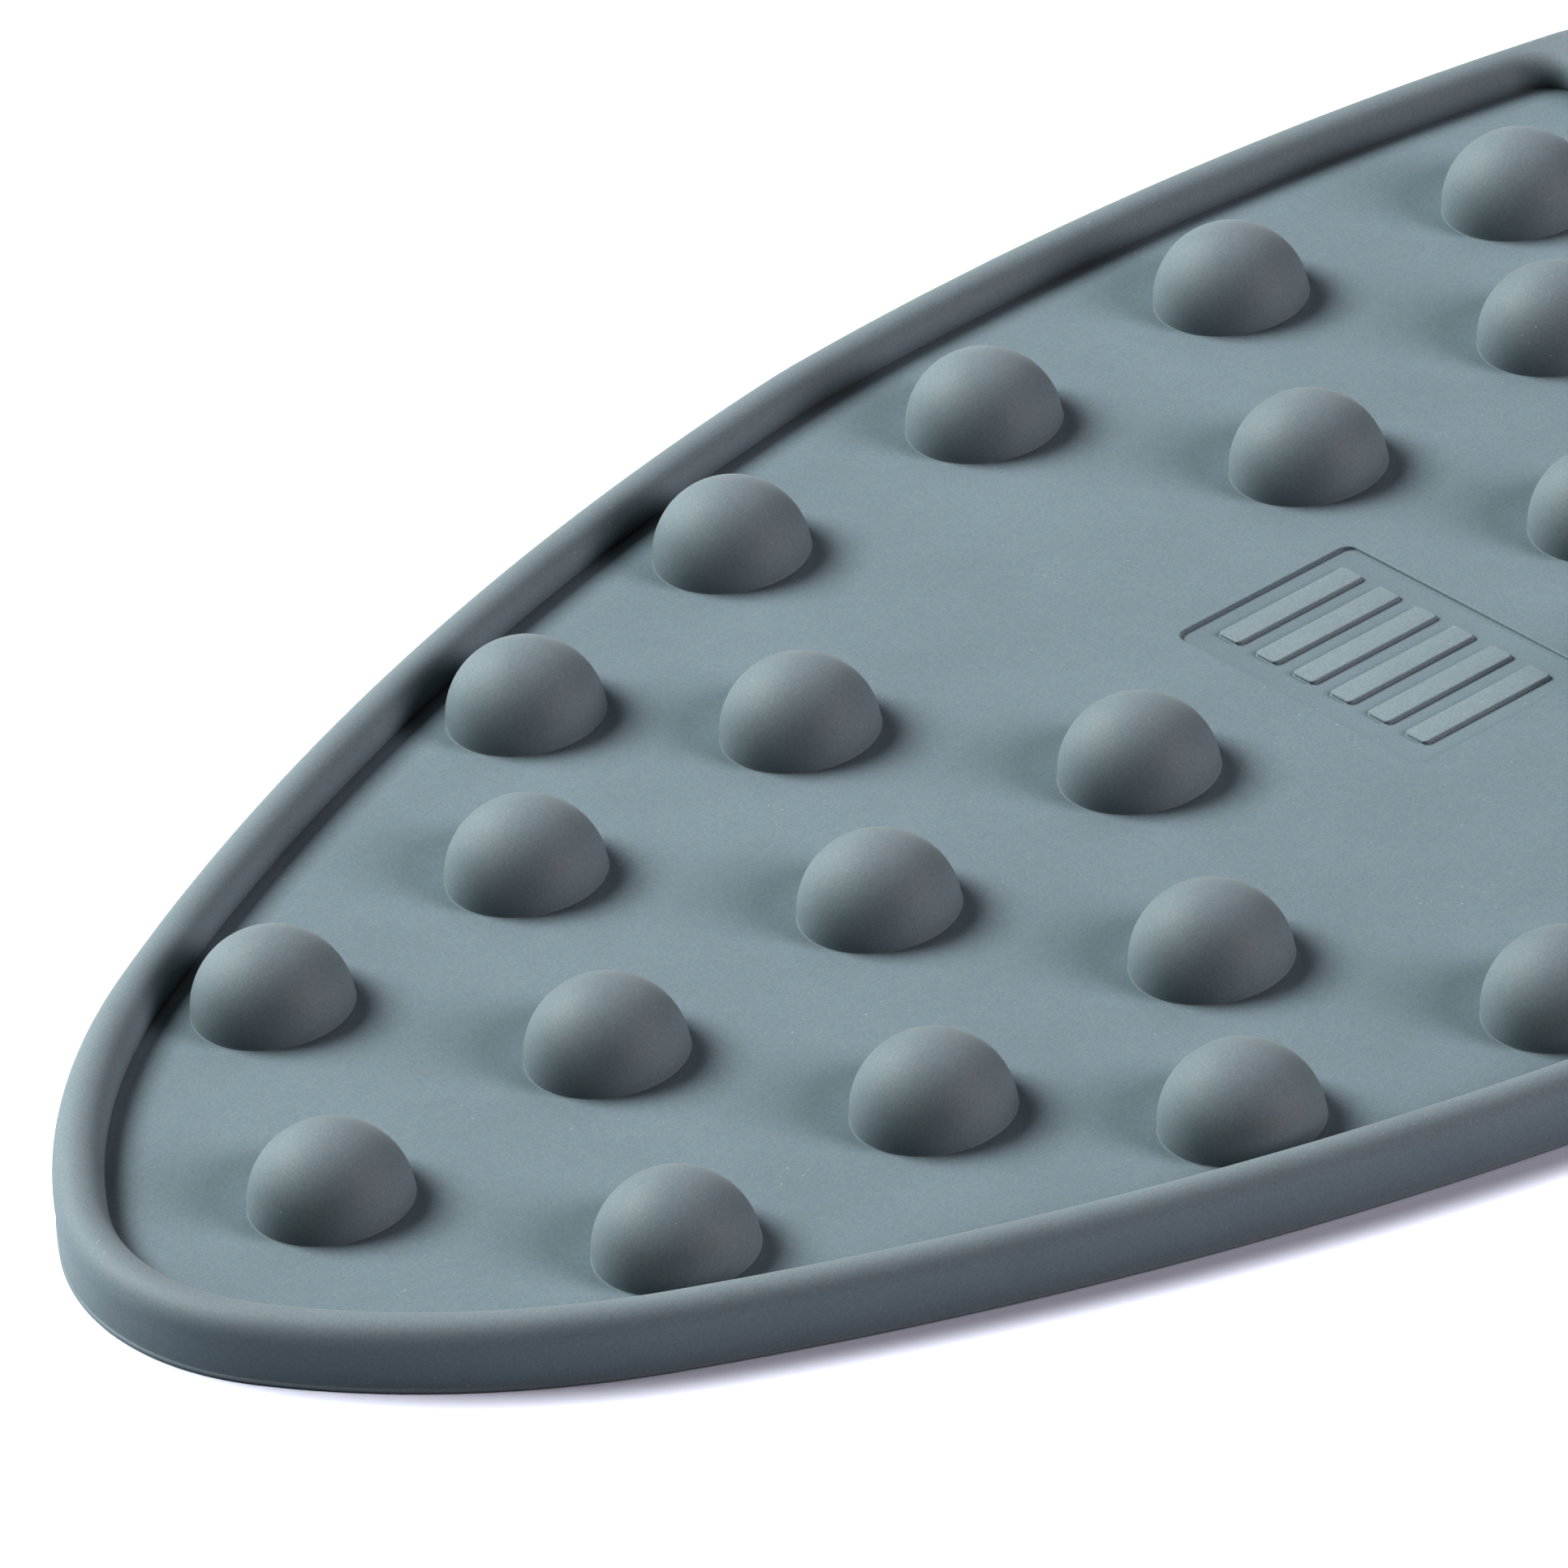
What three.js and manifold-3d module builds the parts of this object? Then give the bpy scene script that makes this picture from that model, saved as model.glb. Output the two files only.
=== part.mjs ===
// Heat-resistant silicone rest mat for a small clothes iron.
//
// Frame: millimetres, +Z up. The origin is on the table under the middle of the mat's length and width.
// -X points to the rounded tip and +X to the straight back edge. All but the label panel is symmetrical
// about the XZ plane.
// Left is -Y and right is +Y: the two hands of someone who holds the iron with its tip towards -X.
//
// The real mat is one moulding. Its features are separate solids here: the base sheet, the raised rim,
// the nubs that the hot soleplate stands on, and the plain raised bars in the recessed label panel.

import * as THREE from "three";
import { mergeVertices } from "three/addons/utils/BufferGeometryUtils.js";
import Module from "manifold-3d";

// ---- Driving dimensions ----

const sheetThickness = 2.0;
const rimHeight = 2.2; // above the top of the sheet
const rimWidth = 3.2; // along both sides and round the tip
const backRimWidth = 7.45; // across the straight back edge
const rimEdgeRadius = 1.5;
const nubRadius = 5.0;
const nubHeight = 4.85; // above the top of the sheet

// The outer outline from the tip to the back edge, as arcs that run into each other without a corner.
// Each arc turns the outline until its outward normal has swung to the angle `until`,
// measured in degrees from the direction that the tip points in.
const sideArcs = [
  { radius: 19.0, until: 30.1 }, // tip
  { radius: 50.3, until: 58.8 }, // shoulder
  { radius: 186.2, until: 81.4 }, // front part of the side
  { radius: 42.2, until: 85.7 }, // bend where the mat is nearly at its widest
  { radius: 176.6, until: 104.8 }, // rear part of the side
];
const backCornerRadius = 7.0;
const innerBackCornerRadius = 3.1;

// Nub stations are distances back from the tip, and offsets are distances out from the centre line.
const middleNubStations = [15.6, 36.0, 56.6, 76.7, 114.1, 134.2];
const innerNubStations = [25.9, 45.0, 66.1, 106.5, 126.8];
const innerNubOffset = 19.5;
const outerNubs = [
  { station: 56.2, offset: 34.1 },
  { station: 76.4, offset: 39.3 },
  { station: 96.6, offset: 39.3 },
  { station: 116.8, offset: 39.3 },
  { station: 136.4, offset: 34.1 },
];

// The label panel is a shallow recess with plain raised bars, and it lies a little left of the centre line.
const panelStation = 95.1;
const panelOffset = -1.05;
const panelLength = 13.9; // along X
const panelBreadth = 22.9; // along Y
const panelDepth = 0.25;
const panelCornerRadius = 0.8;
const barCount = 6;
const barPitch = 3.5;
const barWidth = 2.1;
const barLength = 10.2;
const barHeight = 0.25;
const barCornerRadius = 0.4;

// ---- Mesh fineness ----

const outlineStep = 1.8; // longest side of the outlines' arcs
const cornerSteps = 8; // sides in each back corner of an outline
const nubSides = 24;
const nubRings = 5;
const edgeSteps = 3; // steps round the rim's top edges
const smallArcSteps = 4; // curve segments in the corners of the panel and the bars

// ---- Colours ----

const silicone = { color: 0x7f939d, roughness: 0.72, metalness: 0.0 };
const siliconePanel = { color: 0x879aa3, roughness: 0.7, metalness: 0.0 };

// ---- Outlines ----

const radians = THREE.MathUtils.degToRad;

// Points of one arc, from the end of the outline so far, as the normal swings from one angle to the next.
function arcPoints(start, radius, from, to, steps) {
  const points = [];
  for (let i = 1; i <= steps; i += 1) {
    const angle = from + ((to - from) * i) / steps;
    const x = start.x + radius * (Math.cos(from) - Math.cos(angle));
    const y = start.y + radius * (Math.sin(angle) - Math.sin(from));
    points.push(new THREE.Vector2(x, y));
  }
  return points;
}

// One side of an outline that lies `inset` inside the mat's outer edge, starting at the tip.
// The last side arc stops where the corner of radius `cornerRadius` meets the line x = `backX`,
// or at its own end where no `backX` is given.
function sidePoints(inset, cornerRadius, backX) {
  const points = [new THREE.Vector2(inset, 0)];
  let from = 0;
  sideArcs.forEach((arc, index) => {
    const radius = arc.radius - inset;
    const start = points[points.length - 1];
    let until = radians(arc.until);
    if (index === sideArcs.length - 1 && backX !== undefined) {
      const arcCentreX = start.x + radius * Math.cos(from);
      until = Math.acos((arcCentreX + cornerRadius - backX) / (radius - cornerRadius));
    }
    const steps = Math.max(2, Math.ceil((radius * (until - from)) / (outlineStep * stepGrowth(radius))));
    points.push(...arcPoints(start, radius, from, until, steps));
    from = until;
  });
  points.push(...arcPoints(points[points.length - 1], cornerRadius, from, Math.PI, cornerSteps));
  return points;
}

// Flat arcs need fewer points than tight ones.
function stepGrowth(radius) {
  return Math.sqrt(radius / sideArcs[0].radius);
}

// The closed outline, counter-clockwise: the left side back from the tip, the straight back edge,
// and the right side forward to the tip again.
function outlineShape(rightSide) {
  const leftSide = rightSide.map((point) => new THREE.Vector2(point.x, -point.y));
  const forward = rightSide.slice(1).reverse();
  return new THREE.Shape([...leftSide, ...forward]);
}

const outerSide = sidePoints(0, backCornerRadius);
const matLength = outerSide[outerSide.length - 1].x;
const innerSide = sidePoints(rimWidth, innerBackCornerRadius, matLength - backRimWidth);
const outerOutline = outlineShape(outerSide);
const floorOutline = outlineShape(innerSide);

// A rectangle with rounded corners, centred on the origin.
function roundedRectangle(length, breadth, radius) {
  const x = length / 2 - radius;
  const y = breadth / 2 - radius;
  const shape = new THREE.Shape();
  shape.absarc(x, y, radius, 0, Math.PI / 2);
  shape.absarc(-x, y, radius, Math.PI / 2, Math.PI);
  shape.absarc(-x, -y, radius, Math.PI, 1.5 * Math.PI);
  shape.absarc(x, -y, radius, 1.5 * Math.PI, 2 * Math.PI);
  return shape;
}

// ---- Solids ----

const wasm = await Module();
wasm.setup();

function toSolid(geometry) {
  const bare = geometry.clone();
  bare.deleteAttribute("normal");
  bare.deleteAttribute("uv");
  const merged = mergeVertices(bare);
  return new wasm.Manifold(
    new wasm.Mesh({
      numProp: 3,
      vertProperties: new Float32Array(merged.attributes.position.array),
      triVerts: new Uint32Array(merged.index.array),
    }),
  );
}

function toGeometry(solid) {
  const mesh = solid.getMesh();
  const geometry = new THREE.BufferGeometry();
  geometry.setAttribute("position", new THREE.BufferAttribute(new Float32Array(mesh.vertProperties), 3));
  geometry.setIndex(new THREE.BufferAttribute(new Uint32Array(mesh.triVerts), 1));
  geometry.computeVertexNormals();
  return geometry;
}

function extrude(shape, depth) {
  return new THREE.ExtrudeGeometry(shape, { depth, bevelEnabled: false, curveSegments: smallArcSteps });
}

// The sheet under everything, with the label panel's recess cut into its top.
function baseSheet() {
  const sheet = toSolid(extrude(outerOutline, sheetThickness));
  const clearance = 1; // the cutter stands this far above the sheet
  const recess = extrude(roundedRectangle(panelLength, panelBreadth, panelCornerRadius), panelDepth + clearance);
  recess.translate(panelStation, panelOffset, sheetThickness - panelDepth);
  return toGeometry(sheet.subtract(toSolid(recess)));
}

// The rim is a ring with both of its top edges rounded, cut off flat where it meets the sheet.
function rim() {
  const ring = outerOutline.clone();
  ring.holes.push(floorOutline);
  const wallHeight = rimHeight - rimEdgeRadius;
  const roundedRing = new THREE.ExtrudeGeometry(ring, {
    depth: wallHeight,
    bevelThickness: rimEdgeRadius,
    bevelSize: rimEdgeRadius,
    bevelOffset: -rimEdgeRadius,
    bevelSegments: edgeSteps,
  });
  const cutterMargin = 10;
  const cutter = new THREE.BoxGeometry(matLength + 2 * cutterMargin, matLength, cutterMargin);
  cutter.translate(matLength / 2, 0, -cutterMargin / 2);
  return toGeometry(toSolid(roundedRing).subtract(toSolid(cutter)));
}

// A nub is a dome, round at the foot and slightly lower than a half ball.
function nub() {
  const profile = [new THREE.Vector2(0, 0)];
  for (let i = 0; i <= nubRings; i += 1) {
    const angle = (i / nubRings) * (Math.PI / 2);
    const radius = i === nubRings ? 0 : nubRadius * Math.cos(angle);
    profile.push(new THREE.Vector2(radius, nubHeight * Math.sin(angle)));
  }
  const dome = new THREE.LatheGeometry(profile, nubSides);
  dome.rotateX(Math.PI / 2);
  return dome;
}

// A raised bar lying along X.
function labelBar() {
  return extrude(roundedRectangle(barLength, barWidth, barCornerRadius), barHeight);
}

// ---- The mat ----

const mat = new THREE.Group();
const onTable = new THREE.Group(); // in here, x is the distance back from the tip
onTable.position.x = -matLength / 2;
mat.add(onTable);

function addPiece(name, geometry, look, x, y, z) {
  const piece = new THREE.Mesh(geometry, new THREE.MeshStandardMaterial(look));
  piece.name = name;
  piece.position.set(x, y, z);
  onTable.add(piece);
}

function addNub(name, station, offset) {
  addPiece(name, nub(), silicone, station, offset, sheetThickness);
}

addPiece("base_sheet", baseSheet(), silicone, 0, 0, 0);
addPiece("rim", rim(), silicone, 0, 0, sheetThickness);

middleNubStations.forEach((station, i) => {
  addNub(`nub_middle_${i + 1}`, station, 0);
});
innerNubStations.forEach((station, i) => {
  addNub(`nub_inner_left_${i + 1}`, station, -innerNubOffset);
  addNub(`nub_inner_right_${i + 1}`, station, innerNubOffset);
});
outerNubs.forEach(({ station, offset }, i) => {
  addNub(`nub_outer_left_${i + 1}`, station, -offset);
  addNub(`nub_outer_right_${i + 1}`, station, offset);
});

for (let i = 0; i < barCount; i += 1) {
  const y = panelOffset + (i - (barCount - 1) / 2) * barPitch;
  addPiece(`label_bar_${i + 1}`, labelBar(), siliconePanel, panelStation, y, sheetThickness - panelDepth);
}

export default mat;
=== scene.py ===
"""Looks for the silicone iron rest mat: fine meshes, moulded silicone, floor, light and camera."""

import math

import bmesh
import bpy
from mathutils import Matrix, Vector
from mathutils.geometry import tessellate_polygon


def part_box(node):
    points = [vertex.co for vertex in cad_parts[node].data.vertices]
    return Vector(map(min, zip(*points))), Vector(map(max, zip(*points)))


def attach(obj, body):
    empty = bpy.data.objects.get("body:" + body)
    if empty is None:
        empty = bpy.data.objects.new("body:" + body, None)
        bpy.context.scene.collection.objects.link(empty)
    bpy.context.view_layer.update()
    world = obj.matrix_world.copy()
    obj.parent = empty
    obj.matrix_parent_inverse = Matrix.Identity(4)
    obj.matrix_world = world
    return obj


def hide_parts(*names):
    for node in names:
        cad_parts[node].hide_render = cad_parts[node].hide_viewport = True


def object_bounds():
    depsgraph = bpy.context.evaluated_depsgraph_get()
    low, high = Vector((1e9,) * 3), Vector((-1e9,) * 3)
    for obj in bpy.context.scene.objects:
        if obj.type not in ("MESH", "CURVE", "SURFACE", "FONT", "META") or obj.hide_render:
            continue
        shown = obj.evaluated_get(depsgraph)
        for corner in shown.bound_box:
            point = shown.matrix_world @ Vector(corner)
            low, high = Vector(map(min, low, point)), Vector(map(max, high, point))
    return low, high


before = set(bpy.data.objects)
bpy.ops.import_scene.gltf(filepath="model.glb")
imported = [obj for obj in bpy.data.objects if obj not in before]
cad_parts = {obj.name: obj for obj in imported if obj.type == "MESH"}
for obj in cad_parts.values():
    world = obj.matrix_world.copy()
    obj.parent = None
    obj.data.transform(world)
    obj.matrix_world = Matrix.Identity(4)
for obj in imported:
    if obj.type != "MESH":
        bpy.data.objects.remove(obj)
cad_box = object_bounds()

# ---- Sizes, in millimetres and in the CAD's frame ----

MM = 0.001

BAR_NODES = sorted(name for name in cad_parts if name.startswith("label_bar"))
NUB_NODES = sorted(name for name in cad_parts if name.startswith("nub"))

SHEET_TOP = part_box("base_sheet")[1].z / MM
RIM_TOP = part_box("rim")[1].z / MM
TIP_X = cad_box[0].x / MM
BACK_X = cad_box[1].x / MM
HALF_WIDTH = cad_box[1].y / MM

# The outer outline from the tip back along one side: arcs of (radius, outward normal's angle from the
# tip's direction at the arc's end, points on the arc).
SIDE_ARCS = (
    (19.0, 30.1, 26),
    (50.3, 58.8, 56),
    (186.2, 81.4, 130),
    (42.2, 85.7, 10),
    (176.6, 104.8, 100),
)
BACK_CORNER_RADIUS = 7.0
INNER_BACK_CORNER_RADIUS = 3.0
CORNER_POINTS = 32
BACK_EDGE_POINTS = 160
BACK_RIM_WIDTH = 7.45

# The mould's flash lip round the foot of the outer wall, as (inset from the lip's edge, height).
LIP_SECTION = ((0.3, 0.0), (0.1, 0.02), (0.02, 0.07), (0.0, 0.13), (0.0, 0.2), (0.04, 0.26), (0.13, 0.31))
WALL_INSET = 0.17  # the outer wall stands this far back from the lip's edge
WALL_BOTTOM = 0.42
WALL_STEPS = 8
BEAD_RADIUS = 1.53  # the rim's rounded crest
BEAD_STEPS = 48
BEAD_CENTRE = WALL_INSET + BEAD_RADIUS
BEAD_FOOT_ANGLE = -math.asin((RIM_TOP - BEAD_RADIUS - SHEET_TOP) / BEAD_RADIUS)
RIM_WIDTH = BEAD_CENTRE + BEAD_RADIUS * math.cos(BEAD_FOOT_ANGLE)  # where the bead meets the sheet
STRETCH_FROM = 1.2  # where the rim is wide, its crest is stretched between these two insets
STRETCH_TO = 2.2

NUB_SEGMENTS = 96
NUB_RINGS = 30
NUB_FOOT_RADIUS = 0.05
NUB_FOOT_STEPS = 5

PANEL_LENGTH = 13.9  # along X
PANEL_BREADTH = 22.9  # along Y
PANEL_CORNER_RADIUS = 0.8
PANEL_EDGE_RADIUS = 0.13
PANEL_FOOT_RADIUS = 0.11
BAR_CORNER_RADIUS = 0.4
BAR_EDGE_RADIUS = 0.12
BAR_FOOT_RADIUS = 0.06
EDGE_STEPS = 6  # steps round the top edges of the panel and the bars
FOOT_STEPS = 4  # steps round the hollows at their feet
RECTANGLE_CORNER_STEPS = 10

SHARP_ANGLE = 35  # degrees between faces; shading is smooth over anything flatter


# ---- Meshes ----


def make_piece(name, points, faces, *nodes, material):
    """A mesh of points in millimetres that stands for CAD nodes and rides on the one body."""
    mesh = bpy.data.meshes.new(name)
    mesh.from_pydata([(x * MM, y * MM, z * MM) for x, y, z in points], [], faces)
    mesh.validate()
    mesh.materials.append(material)
    piece = bpy.data.objects.new(name, mesh)
    bpy.context.scene.collection.objects.link(piece)
    mesh.shade_smooth()
    mesh.set_sharp_from_angle(angle=math.radians(SHARP_ANGLE))
    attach(piece, "root")
    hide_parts(*nodes)
    return piece


def quarter_turn(steps):
    """Evenly spaced angles from zero to a right angle."""
    return [math.pi / 2 * i / steps for i in range(steps + 1)]


def arc_points(start, radius, a0, a1, count):
    """Points and outward normals of an outline's next arc, as its normal swings from a0 to a1."""
    found = []
    for i in range(1, count + 1):
        a = a0 + (a1 - a0) * i / count
        x = start[0] + radius * (math.cos(a0) - math.cos(a))
        y = start[1] + radius * (math.sin(a) - math.sin(a0))
        found.append((x, y, -math.cos(a), math.sin(a)))
    return found


def closed_outline(inset, corner_radius, back_x):
    """Points and normals of an outline: back along the right side, over the back edge, and up the left side.

    The last side arc stops where the back corner's arc begins.
    """
    right = [(TIP_X + inset, 0.0, -1.0, 0.0)]
    a0 = 0.0
    for radius, until, count in SIDE_ARCS:
        start = right[-1]
        a1 = math.radians(until)
        if until == SIDE_ARCS[-1][1]:
            centre_x = start[0] + (radius - inset) * math.cos(a0)
            a1 = math.acos((centre_x + corner_radius - back_x) / (radius - inset - corner_radius))
        right += arc_points(start, radius - inset, a0, a1, count)
        a0 = a1
    right += arc_points(right[-1], corner_radius, a0, math.pi, CORNER_POINTS)
    # The CAD's arcs have longer chords, so these finer ones would pass its box by a hair where the mat
    # is widest.
    right = [(x, min(y, HALF_WIDTH), nx, ny) for x, y, nx, ny in right]
    x, y = right[-1][:2]
    back = []
    for i in range(1, BACK_EDGE_POINTS):
        back.append((x, y - 2 * y * i / BACK_EDGE_POINTS, 1.0, 0.0))
    left = [(px, -py, nx, -ny) for px, py, nx, ny in reversed(right[1:])]
    return right + back + left


OUTER = closed_outline(0.0, BACK_CORNER_RADIUS, BACK_X)
INNER = closed_outline(RIM_WIDTH, INNER_BACK_CORNER_RADIUS, BACK_X - BACK_RIM_WIDTH)


def rim_section():
    """The rim's section as (inset, height): up from the table, over the crest and down to the table."""
    points = list(LIP_SECTION)
    centre_z = RIM_TOP - BEAD_RADIUS
    for i in range(WALL_STEPS):
        points.append((WALL_INSET, WALL_BOTTOM + (centre_z - WALL_BOTTOM) * i / WALL_STEPS))
    for i in range(BEAD_STEPS + 1):
        a = math.pi + (BEAD_FOOT_ANGLE - math.pi) * i / BEAD_STEPS
        points.append((BEAD_CENTRE + BEAD_RADIUS * math.cos(a), centre_z + BEAD_RADIUS * math.sin(a)))
    points.append((RIM_WIDTH, 0.0))
    return points


def rim_point(outer, inner, inset, z):
    """A point of the rim's section at one place along the outlines."""
    t = min(1.0, max(0.0, (inset - STRETCH_FROM) / (STRETCH_TO - STRETCH_FROM)))
    t = t * t * (3 - 2 * t)
    from_outer = (outer[0] - inset * outer[2], outer[1] - inset * outer[3])
    out = RIM_WIDTH - inset
    from_inner = (inner[0] + out * inner[2], inner[1] + out * inner[3])
    x = from_outer[0] * (1 - t) + from_inner[0] * t
    y = from_outer[1] * (1 - t) + from_inner[1] * t
    return (x, y, z)


def make_rim(material):
    """The raised rim all round, down to the table, as one closed ring."""
    section = rim_section()
    points = []
    for outer, inner in zip(OUTER, INNER):
        points += [rim_point(outer, inner, inset, z) for inset, z in section]
    n = len(section)
    m = len(OUTER)
    faces = []
    for k in range(m):
        here = k * n
        there = (k + 1) % m * n
        for i in range(n):
            j = (i + 1) % n
            faces.append((here + i, here + j, there + j, there + i))
    return make_piece("rim_detail", points, faces, "rim", material=material)


def rounded_rectangle(length, breadth, radius):
    """A closed loop round the origin with its outward normals, counter-clockwise."""
    loop = []
    for quarter in range(4):
        sx = 1 if quarter in (0, 3) else -1
        sy = 1 if quarter in (0, 1) else -1
        cx = sx * (length / 2 - radius)
        cy = sy * (breadth / 2 - radius)
        for i in range(RECTANGLE_CORNER_STEPS + 1):
            a = math.pi / 2 * (quarter + i / RECTANGLE_CORNER_STEPS)
            loop.append((cx + radius * math.cos(a), cy + radius * math.sin(a), math.cos(a), math.sin(a)))
    return loop


def bridge(faces, first, second, count):
    """Quads between two loops of points that start at the indices first and second."""
    for i in range(count):
        j = (i + 1) % count
        faces.append((first + i, first + j, second + j, second + i))


def panel_slope(recess_floor):
    """The recess's wall as (distance outside the panel's outline, height), from the sheet's top down."""
    edge = PANEL_EDGE_RADIUS
    foot = PANEL_FOOT_RADIUS
    slope = []
    for a in quarter_turn(EDGE_STEPS):
        slope.append((edge * (1 - math.sin(a)), SHEET_TOP - edge * (1 - math.cos(a))))
    for a in quarter_turn(FOOT_STEPS):
        slope.append((-foot * (1 - math.cos(a)), recess_floor + foot * (1 - math.sin(a))))
    return slope


def make_sheet(material):
    """The flat sheet inside the rim, with the shallow label panel pressed into its top."""
    bars = [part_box(name) for name in BAR_NODES]
    centre_x = (bars[0][0].x + bars[0][1].x) / 2 / MM
    centre_y = (bars[0][0].y + bars[-1][1].y) / 2 / MM
    slope = panel_slope(bars[0][0].z / MM)
    loop = rounded_rectangle(PANEL_LENGTH, PANEL_BREADTH, PANEL_CORNER_RADIUS)
    edge = [(x, y) for x, y, _, _ in INNER]
    points = [(x, y, SHEET_TOP) for x, y in edge]
    first_ring = len(points)
    for out, z in slope:
        points += [(centre_x + x + nx * out, centre_y + y + ny * out, z) for x, y, nx, ny in loop]
    top = [Vector((x, y, 0)) for x, y in edge]
    hole = [Vector((x, y, 0)) for x, y, _ in points[first_ring : first_ring + len(loop)]]
    faces = list(tessellate_polygon([top, hole]))
    for ring in range(len(slope) - 1):
        start = first_ring + ring * len(loop)
        bridge(faces, start, start + len(loop), len(loop))
    recess_floor_ring = first_ring + (len(slope) - 1) * len(loop)
    faces.append(tuple(recess_floor_ring + i for i in range(len(loop))))
    bottom = len(points)
    points += [(x, y, 0.0) for x, y in edge]
    bridge(faces, 0, bottom, len(edge))
    faces.append(tuple(bottom + i for i in range(len(edge))))
    piece = make_piece("sheet_detail", points, faces, "base_sheet", material=material)
    fix_normals(piece)
    return piece


def fix_normals(piece):
    """Makes a closed mesh's faces all look outwards."""
    work = bmesh.new()
    work.from_mesh(piece.data)
    bmesh.ops.recalc_face_normals(work, faces=work.faces)
    work.to_mesh(piece.data)
    work.free()


def make_nub(node, material):
    """A smooth dome with a small hollow round its foot, in its CAD node's place and size."""
    low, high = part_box(node)
    centre_x = (low.x + high.x) / 2 / MM
    centre_y = (low.y + high.y) / 2 / MM
    radius = (high.x - low.x) / 2 / MM
    base = low.z / MM
    height = (high.z - low.z) / MM
    foot = NUB_FOOT_RADIUS
    section = []
    for a in quarter_turn(NUB_FOOT_STEPS)[:-1]:
        section.append((radius - foot * math.sin(a), base + foot * (1 - math.cos(a))))
    body = radius - foot
    low_angle = math.asin(foot / height)
    for i in range(NUB_RINGS):
        a = low_angle + (math.pi / 2 - low_angle) * i / NUB_RINGS
        section.append((body * math.cos(a) / math.cos(low_angle), base + height * math.sin(a)))
    points = []
    for out, z in section:
        for k in range(NUB_SEGMENTS):
            a = 2 * math.pi * k / NUB_SEGMENTS
            points.append((centre_x + out * math.cos(a), centre_y + out * math.sin(a), z))
    faces = []
    for ring in range(len(section) - 1):
        bridge(faces, ring * NUB_SEGMENTS, (ring + 1) * NUB_SEGMENTS, NUB_SEGMENTS)
    apex = len(points)
    points.append((centre_x, centre_y, base + height))
    last_ring = (len(section) - 1) * NUB_SEGMENTS
    for k in range(NUB_SEGMENTS):
        faces.append((last_ring + k, last_ring + (k + 1) % NUB_SEGMENTS, apex))
    faces.append(tuple(reversed(range(NUB_SEGMENTS))))
    return make_piece(node + "_detail", points, faces, node, material=material)


def make_bar(node, material):
    """One plain raised bar with a softened top edge and a small hollow round its foot."""
    low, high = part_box(node)
    centre_x = (low.x + high.x) / 2 / MM
    centre_y = (low.y + high.y) / 2 / MM
    length = (high.x - low.x) / MM
    breadth = (high.y - low.y) / MM
    top = high.z / MM
    edge = BAR_EDGE_RADIUS
    foot = BAR_FOOT_RADIUS
    loop = rounded_rectangle(length, breadth, BAR_CORNER_RADIUS)
    section = []
    for a in quarter_turn(FOOT_STEPS):
        section.append((foot * math.sin(a), low.z / MM + foot * (1 - math.cos(a))))
    for a in quarter_turn(EDGE_STEPS):
        section.append((foot + edge * (1 - math.cos(a)), top - edge + edge * math.sin(a)))
    points = []
    for inset, z in section:
        points += [(centre_x + x - nx * inset, centre_y + y - ny * inset, z) for x, y, nx, ny in loop]
    faces = []
    for ring in range(len(section) - 1):
        bridge(faces, ring * len(loop), (ring + 1) * len(loop), len(loop))
    faces.append(tuple((len(section) - 1) * len(loop) + i for i in range(len(loop))))
    faces.append(tuple(reversed(range(len(loop)))))
    return make_piece(node + "_detail", points, faces, node, material=material)


# ---- Material ----

FLAT_TONE = (0.184, 0.233, 0.263)
# The rim and nubs get a warmer, slightly lighter tone than the flat sheet: painted light, standing in for
# the light their rounded sides catch unlike the flat sheet.
RAISED_TONE_WITH_PAINTED_LIGHT = (0.197, 0.239, 0.263)
LABEL_TONE = (0.210, 0.258, 0.285)
DUST_COLOR = (0.55, 0.56, 0.55, 1)

MOTTLE_SIZE = 9.0  # millimetres, as are the sizes below
GRAIN_SIZE = 0.16
TINT_SIZE = 0.9
DUST_SPACING = 0.7
DUST_PATCH_SIZE = 7.0
GRAIN_HEIGHT = 0.006


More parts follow.
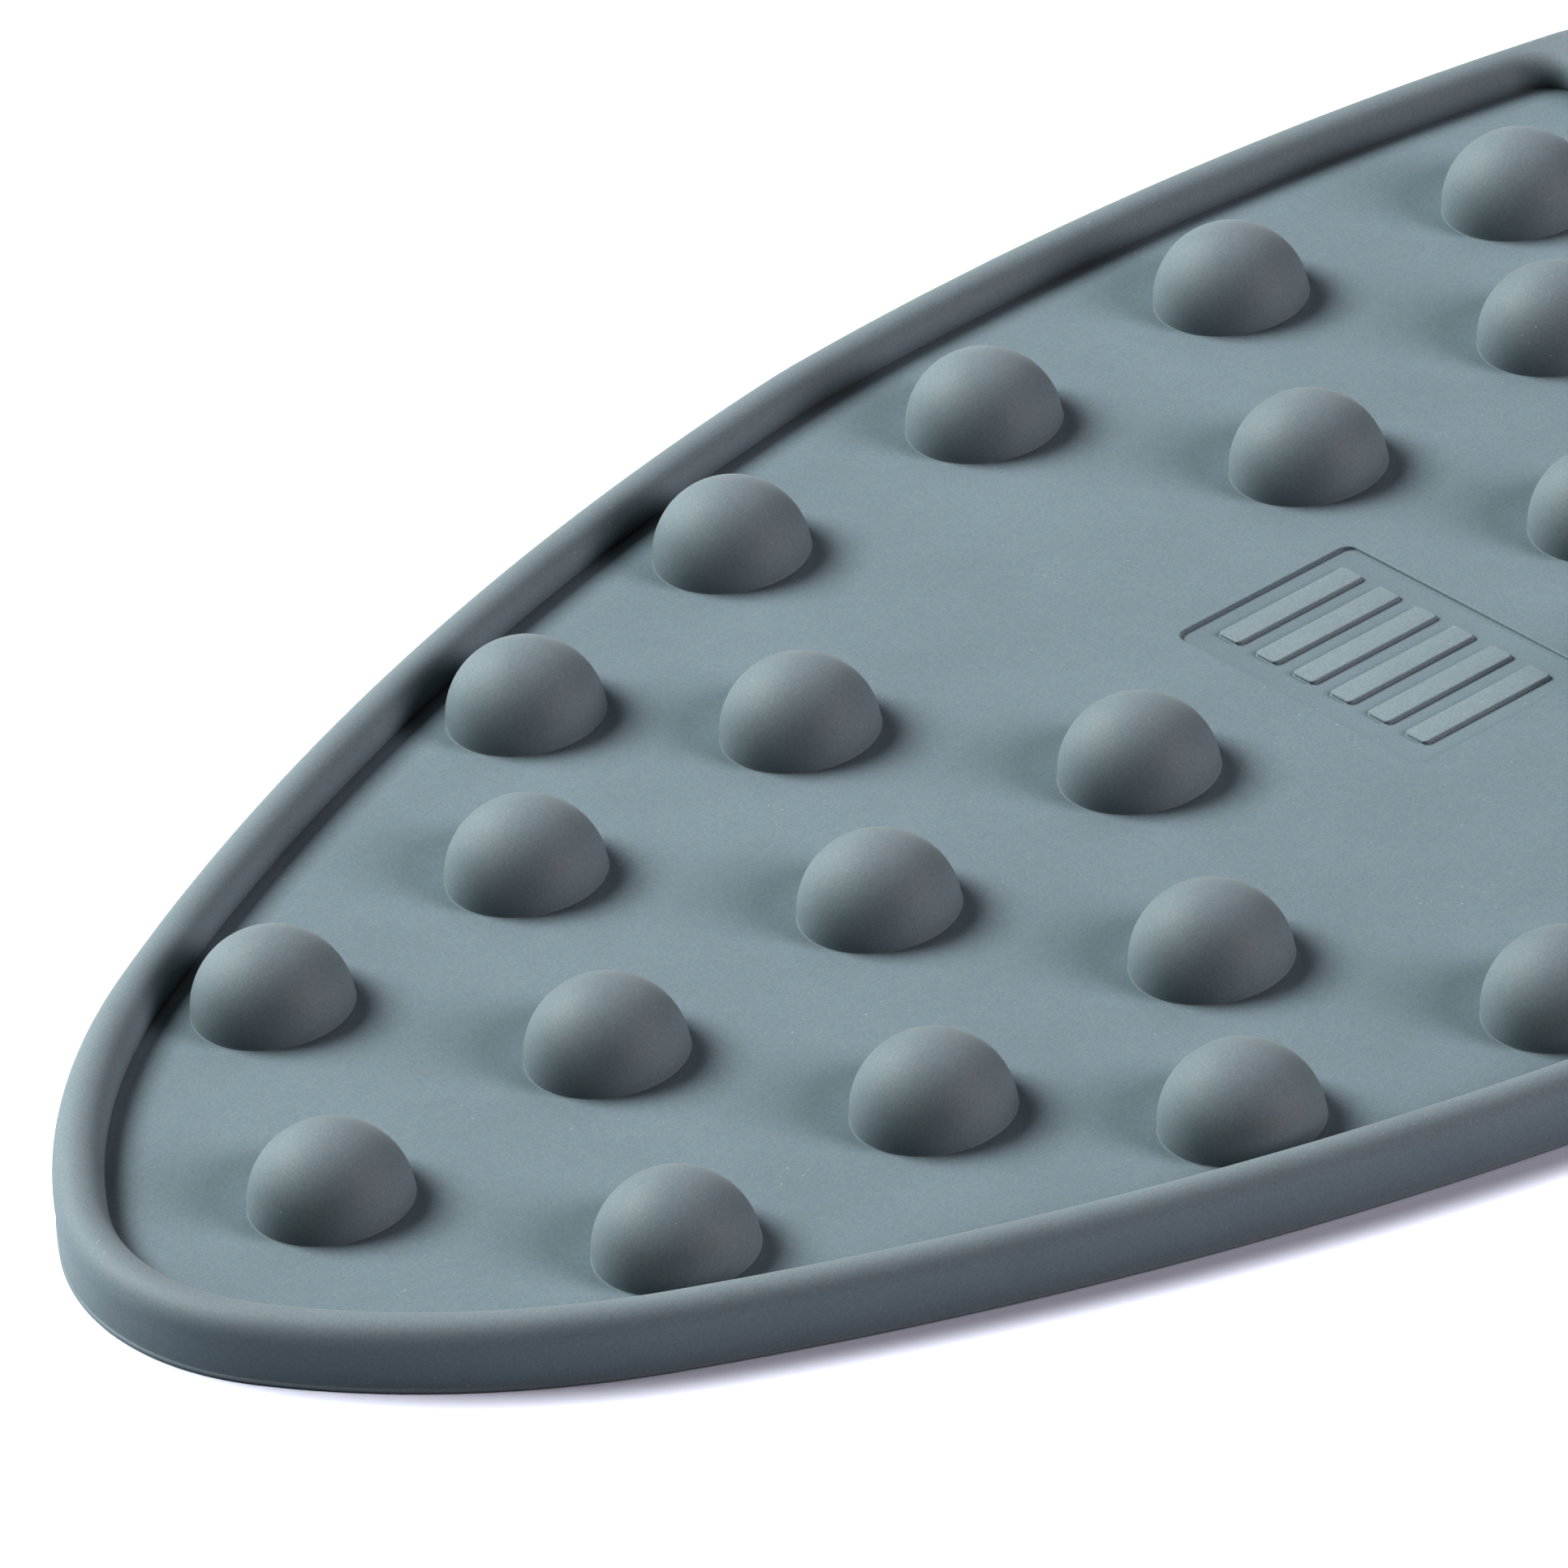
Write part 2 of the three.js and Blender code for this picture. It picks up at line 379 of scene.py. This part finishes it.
def silicone_material(name, tone):
    """Matt moulded silicone: fine grain, faint mottling and a little dust."""
    material = bpy.data.materials.new(name)
    material.use_nodes = True
    nodes = material.node_tree.nodes
    links = material.node_tree.links
    shader = nodes["Principled BSDF"]
    place = nodes.new("ShaderNodeTexCoord")

    def noise_at(size, detail, roughness):
        node = nodes.new("ShaderNodeTexNoise")
        node.inputs["Scale"].default_value = 1 / (size * MM)
        node.inputs["Detail"].default_value = detail
        node.inputs["Roughness"].default_value = roughness
        links.new(place.outputs["Object"], node.inputs["Vector"])
        return node.outputs["Fac"]

    def ramp(source, low, low_color, high, high_color):
        node = nodes.new("ShaderNodeValToRGB")
        first, last = node.color_ramp.elements
        first.position = low
        first.color = (*low_color, 1.0)
        last.position = high
        last.color = (*high_color, 1.0)
        links.new(source, node.inputs["Fac"])
        return node.outputs["Color"]

    def scaled(factor):
        return tuple(c * factor for c in tone)

    def multiplied(first, second):
        mix = nodes.new("ShaderNodeMix")
        mix.data_type = "RGBA"
        mix.blend_type = "MULTIPLY"
        mix.inputs["Factor"].default_value = 1.0
        links.new(first, mix.inputs["A"])
        links.new(second, mix.inputs["B"])
        return mix.outputs["Result"]

    mottle = noise_at(MOTTLE_SIZE, 4.0, 0.6)
    mottle_color = ramp(mottle, 0.3, scaled(0.975), 0.7, scaled(1.025))
    grain = noise_at(GRAIN_SIZE, 2.0, 0.6)
    grain_color = ramp(grain, 0.3, (0.93, 0.935, 0.94), 0.7, (1.07, 1.065, 1.06))
    tint = noise_at(TINT_SIZE, 3.0, 0.7)
    tint_color = ramp(tint, 0.3, (0.985, 1.0, 1.01), 0.7, (1.02, 1.0, 0.99))
    body_color = multiplied(multiplied(mottle_color, grain_color), tint_color)

    # Sparse pale dust: small dots in a few of the Voronoi cells, gathered in patches.
    cells = nodes.new("ShaderNodeTexVoronoi")
    cells.inputs["Scale"].default_value = 1 / (DUST_SPACING * MM)
    links.new(place.outputs["Object"], cells.inputs["Vector"])
    dots = ramp(cells.outputs["Distance"], 0.0, (1, 1, 1), 0.11, (0, 0, 0))
    patches = ramp(noise_at(DUST_PATCH_SIZE, 2.0, 0.5), 0.56, (0, 0, 0), 0.68, (0.6, 0.6, 0.6))
    dust = nodes.new("ShaderNodeMix")
    dust.data_type = "RGBA"
    links.new(multiplied(dots, patches), dust.inputs["Factor"])
    links.new(body_color, dust.inputs["A"])
    dust.inputs["B"].default_value = DUST_COLOR
    links.new(dust.outputs["Result"], shader.inputs["Base Color"])

    rough = nodes.new("ShaderNodeMapRange")
    rough.inputs["To Min"].default_value = 0.6
    rough.inputs["To Max"].default_value = 0.74
    links.new(mottle, rough.inputs["Value"])
    links.new(rough.outputs["Result"], shader.inputs["Roughness"])

    bump = nodes.new("ShaderNodeBump")
    bump.inputs["Strength"].default_value = 0.4
    bump.inputs["Distance"].default_value = GRAIN_HEIGHT * MM
    links.new(grain, bump.inputs["Height"])
    links.new(bump.outputs["Normal"], shader.inputs["Normal"])
    shader.inputs["Specular IOR Level"].default_value = 0.4
    shader.inputs["Sheen Weight"].default_value = 0.12
    shader.inputs["Sheen Roughness"].default_value = 0.5
    return material


# ---- Stage, in metres, watts and degrees ----

FLOOR_HALF_SIZE = 3.0
FLOOR_COLOR = (0.64, 0.68, 0.76, 1)
LIGHT_DISTANCE = 1.5
WORLD_COLOR = (0.9, 0.93, 1.0, 1)
WORLD_STRENGTH = 0.01
CAMERA_AZIMUTH = -124.2
CAMERA_ELEVATION = 31.37
CAMERA_ROLL = -8.13
CAMERA_DISTANCE = 0.8966
CAMERA_AIM = (-0.01610, 0.01545, 0.002)
CAMERA_LENS = 342.24  # millimetres, on the sensor below
CAMERA_SENSOR = 36.0
VIEW_GAMMA = 1 / 1.9


def make_floor():
    """A matt, plain, pale sheet of paper."""
    material = bpy.data.materials.new("floor_paper")
    material.use_nodes = True
    shader = material.node_tree.nodes["Principled BSDF"]
    shader.inputs["Base Color"].default_value = FLOOR_COLOR
    shader.inputs["Roughness"].default_value = 1.0
    shader.inputs["Specular IOR Level"].default_value = 0.0
    mesh = bpy.data.meshes.new("floor")
    half = FLOOR_HALF_SIZE
    corners = [(-half, -half, 0), (half, -half, 0), (half, half, 0), (-half, half, 0)]
    mesh.from_pydata(corners, [], [(0, 1, 2, 3)])
    mesh.materials.append(material)
    floor = bpy.data.objects.new("floor", mesh)
    bpy.context.scene.collection.objects.link(floor)


def direction(azimuth, elevation):
    """The unit vector from the origin, with the azimuth counted from +X towards +Y."""
    a = math.radians(azimuth)
    e = math.radians(elevation)
    return Vector((math.cos(e) * math.cos(a), math.cos(e) * math.sin(a), math.sin(e)))


def area_light(name, azimuth, elevation, width, height, power, color):
    """A softbox that looks at the origin."""
    data = bpy.data.lights.new(name, "AREA")
    data.shape = "RECTANGLE"
    data.size = width
    data.size_y = height
    data.energy = power
    data.color = color
    light = bpy.data.objects.new(name, data)
    light.location = direction(azimuth, elevation) * LIGHT_DISTANCE
    light.rotation_euler = (-light.location).to_track_quat("-Z", "Y").to_euler()
    bpy.context.scene.collection.objects.link(light)


def make_lights():
    """A large key light from the far left, a weaker one from the near right, and faint fills."""
    area_light("key", 114, 42, 1.0, 0.65, 50.0, (1.0, 0.98, 0.93))
    area_light("side", 297, 26, 0.6, 0.7, 27.0, (1.0, 0.89, 0.87))
    area_light("fill", 30, 48, 0.9, 0.9, 5.5, (1.0, 1.0, 1.0))
    area_light("left", 180, 20, 0.8, 0.5, 3.0, (1.0, 1.0, 0.95))
    area_light("back", 115, 12, 1.2, 0.3, 4.0, (1.0, 1.0, 0.97))
    world = bpy.data.worlds.new("studio")
    world.use_nodes = True
    background = world.node_tree.nodes["Background"]
    background.inputs["Color"].default_value = WORLD_COLOR
    background.inputs["Strength"].default_value = WORLD_STRENGTH
    bpy.context.scene.world = world


def make_camera():
    """A long lens that looks down over the mat's left side, rolled a little."""
    away = direction(CAMERA_AZIMUTH, CAMERA_ELEVATION)
    forward = -away
    level_right = forward.cross(Vector((0, 0, 1))).normalized()
    level_up = level_right.cross(forward)
    roll = math.radians(CAMERA_ROLL)
    right = math.cos(roll) * level_right + math.sin(roll) * level_up
    up = -math.sin(roll) * level_right + math.cos(roll) * level_up
    data = bpy.data.cameras.new("camera")
    data.lens = CAMERA_LENS
    data.sensor_width = CAMERA_SENSOR
    camera = bpy.data.objects.new("camera", data)
    place = Matrix((right, up, away)).transposed().to_4x4()
    place.translation = Vector(CAMERA_AIM) + away * CAMERA_DISTANCE
    camera.matrix_world = place
    bpy.context.scene.collection.objects.link(camera)
    bpy.context.scene.camera = camera


def set_view():
    """A plain transform, with mid tones darker than its default."""
    view = bpy.context.scene.view_settings
    view.view_transform = "Standard"
    view.gamma = VIEW_GAMMA


# ---- The scene ----

flat_silicone = silicone_material("silicone_flat", FLAT_TONE)
# Painted light: the rim and nubs share the warmer, lighter raised tone.
raised_silicone_with_painted_light = silicone_material("silicone_raised", RAISED_TONE_WITH_PAINTED_LIGHT)
label_silicone = silicone_material("silicone_label", LABEL_TONE)
make_rim(raised_silicone_with_painted_light)
make_sheet(flat_silicone)
for node in NUB_NODES:
    make_nub(node, raised_silicone_with_painted_light)
for node in BAR_NODES:
    make_bar(node, label_silicone)
make_floor()
make_lights()
make_camera()
set_view()
